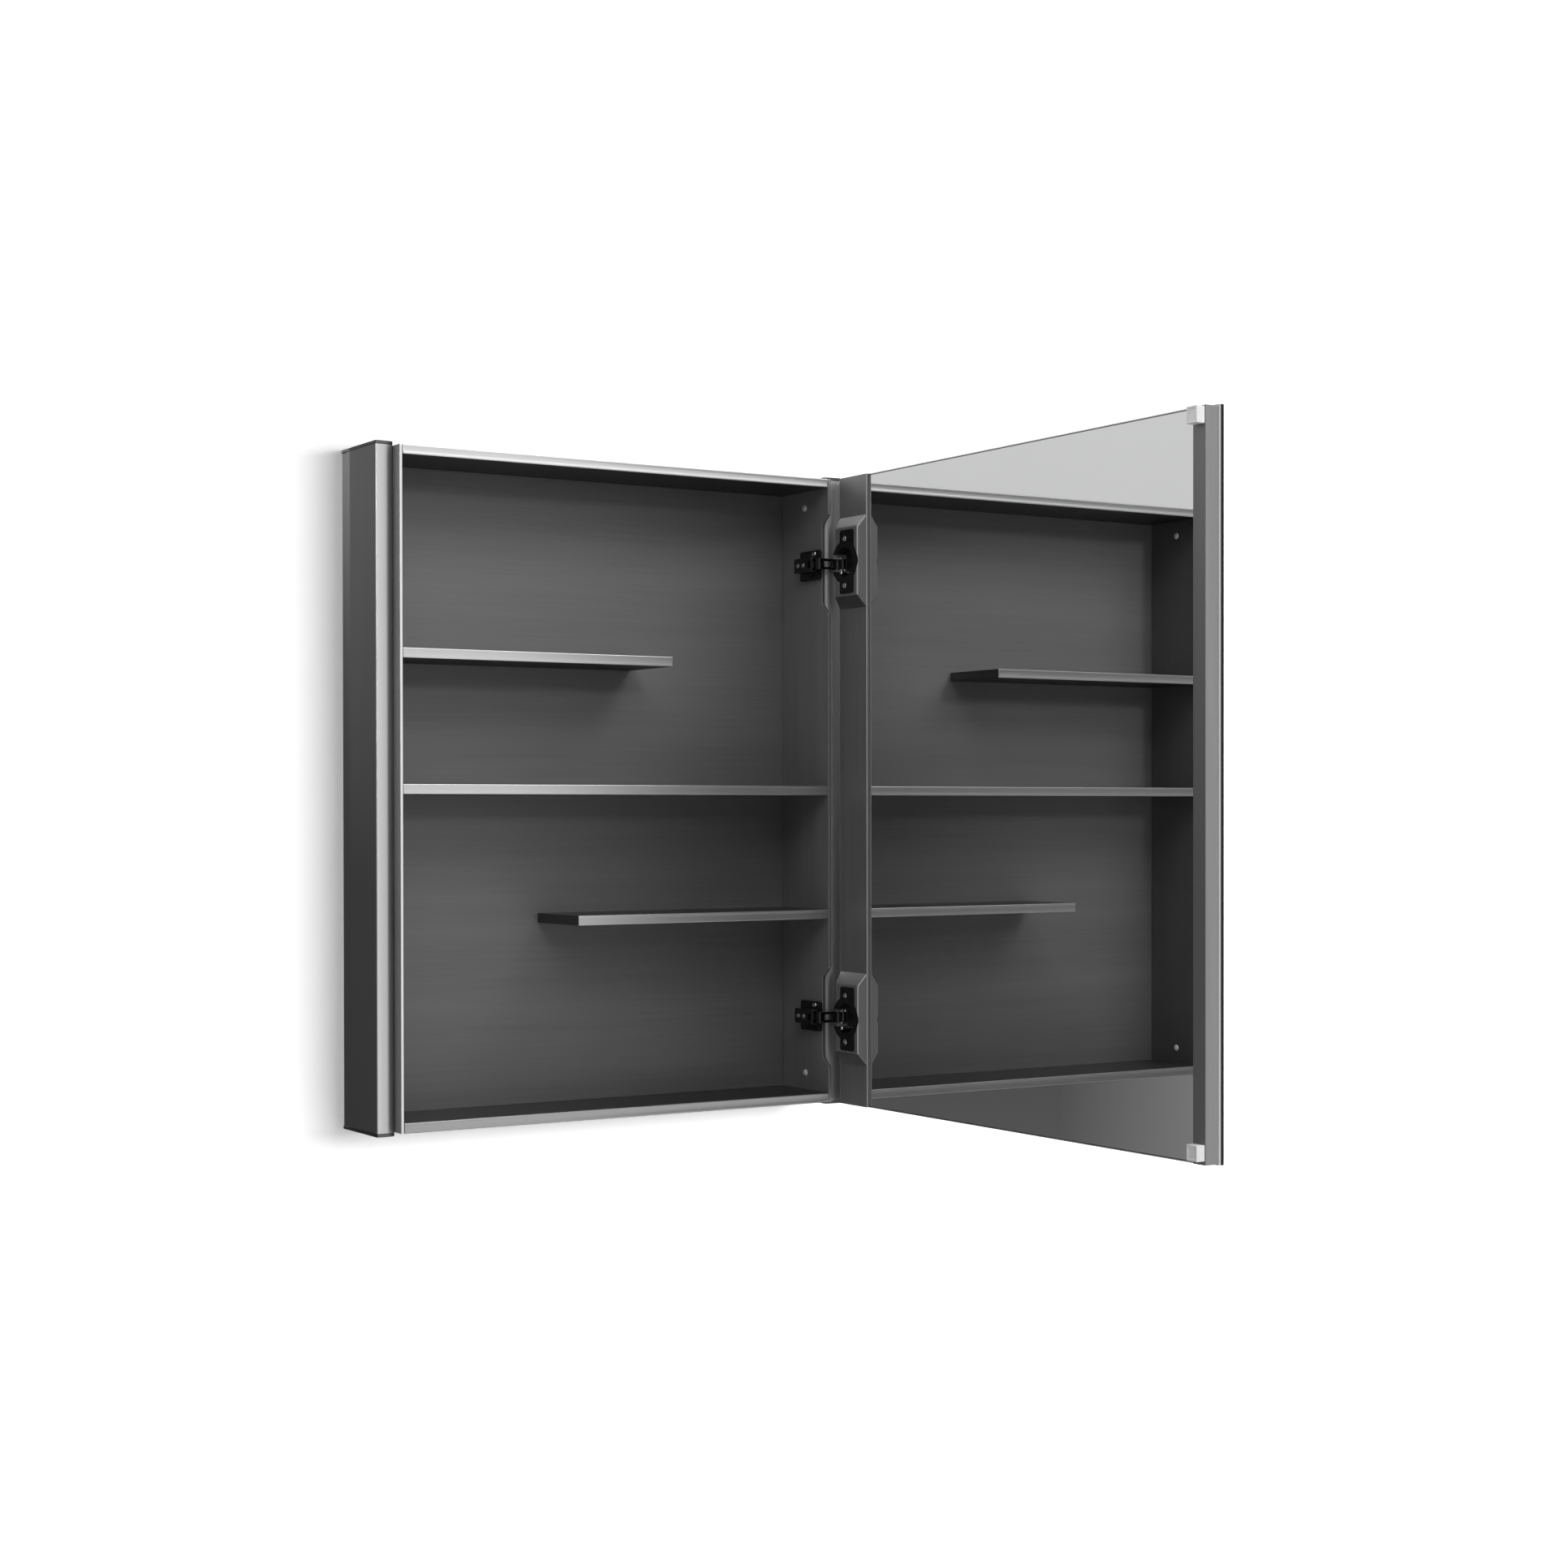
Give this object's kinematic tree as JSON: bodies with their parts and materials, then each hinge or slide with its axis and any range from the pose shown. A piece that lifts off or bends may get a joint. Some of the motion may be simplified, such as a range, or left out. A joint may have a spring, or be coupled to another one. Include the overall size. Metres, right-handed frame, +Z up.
{
  "type": "medicine cabinet with mirror",
  "caption": "Shallow wall cabinet with a raised front lip, staggered shelves and a side-hung door mirrored on both faces.",
  "frame": {"origin": "centre of the flat back face, which lies on the wall", "axes": "+Z up, +X to the right as seen from the room, the open front faces -Y and the wall is the plane y = 0"},
  "size_m": [0.5107, 0.5758, 0.6096],
  "materials": {
    "anodised": "fine satin, dark grey anodised",
    "panel": "dark grey, semi-gloss",
    "shelf": "fine satin, dark grey anodised",
    "mirror": "polished silvered glass",
    "backing": "bright mill finish",
    "core": "foamed board",
    "hinge_black": "black coated die cast",
    "nickel": "nickel plated",
    "zinc": "zinc plated steel",
    "white_plastic": "soft white"
  },
  "bodies": {
    "cabinet": {"arm_screw_lower_1": "zinc", "arm_screw_lower_2": "zinc", "arm_screw_upper_1": "zinc", "arm_screw_upper_2": "zinc", "back_panel": "anodised", "bottom_wall": "anodised", "hinge_arm_lower": "hinge_black", "hinge_arm_upper": "hinge_black", "hinge_neck_lower": "nickel", "hinge_neck_upper": "nickel", "left_bottom_cap": "panel", "left_side_profile": "panel", "left_top_cap": "panel", "left_wall": "anodised", "mount_plate_lower": "hinge_black", "mount_plate_upper": "hinge_black", "mount_screw_lower": "nickel", "mount_screw_upper": "nickel", "right_bottom_cap": "panel", "right_side_profile": "panel", "right_top_cap": "panel", "right_wall": "anodised", "shelf_lower": "shelf", "shelf_middle": "shelf", "shelf_screw_1": "zinc", "shelf_screw_2": "zinc", "shelf_screw_3": "zinc", "shelf_screw_4": "zinc", "shelf_screw_5": "zinc", "shelf_screw_6": "zinc", "shelf_screw_7": "zinc", "shelf_upper": "shelf", "top_wall": "anodised", "wall_plug_left_high": "white_plastic", "wall_plug_left_low": "white_plastic", "wall_plug_right_high": "white_plastic", "wall_plug_right_low": "white_plastic"},
    "door": {"bumper_bottom": "white_plastic", "bumper_top": "white_plastic", "cup_screw_lower_1": "nickel", "cup_screw_lower_2": "nickel", "cup_screw_upper_1": "nickel", "cup_screw_upper_2": "nickel", "door_bottom_rail": "anodised", "door_core": "core", "door_free_profile": "anodised", "door_hinge_profile": "anodised", "door_top_rail": "anodised", "front_mirror": "mirror", "hinge_cup_lower": "hinge_black", "hinge_cup_upper": "hinge_black", "hinge_damper_lower": "nickel", "hinge_damper_upper": "nickel", "hinge_pin_lower": "nickel", "hinge_pin_upper": "nickel", "inner_mirror": "mirror", "mirror_backing": "backing"}
  },
  "joints": [
    {"name": "door_hinge", "type": "hinge", "parent": "cabinet", "child": "door", "pos_m": [0.2432, -0.0837, 0], "axis": [0, 0, 1], "range_deg": [-90, 20]}
  ]
}
